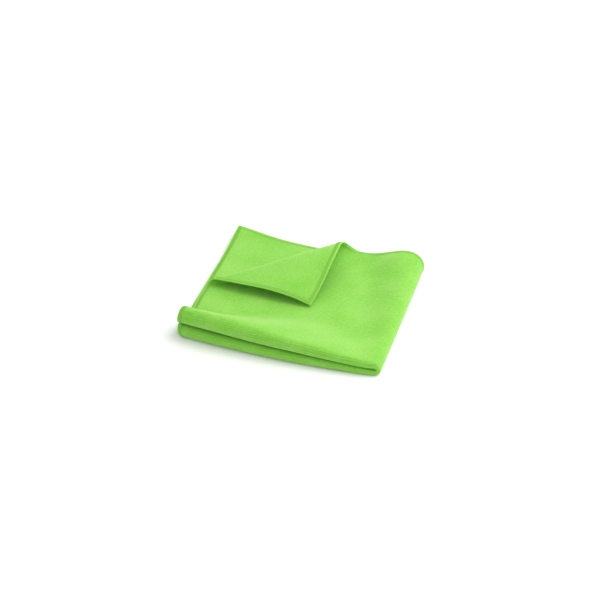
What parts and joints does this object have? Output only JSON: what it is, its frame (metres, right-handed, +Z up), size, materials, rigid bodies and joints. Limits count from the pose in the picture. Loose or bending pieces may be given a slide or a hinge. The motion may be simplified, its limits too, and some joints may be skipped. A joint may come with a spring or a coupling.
{
  "type": "folded microfibre cloth",
  "caption": "Square microfibre cleaning cloth, softly folded in four with one corner of the top turned back, lying flat on a surface.",
  "frame": {"origin": "middle of the footprint, on the surface the cloth lies on", "axes": "+Z up; the two-rolled front edge faces -Y and the looped side faces +X"},
  "size_m": [0.1666, 0.1642, 0.025],
  "materials": {
    "microfibre": "matte, short looped pile"
  },
  "bodies": {
    "root": {"cloth": "microfibre"}
  },
  "joints": []
}
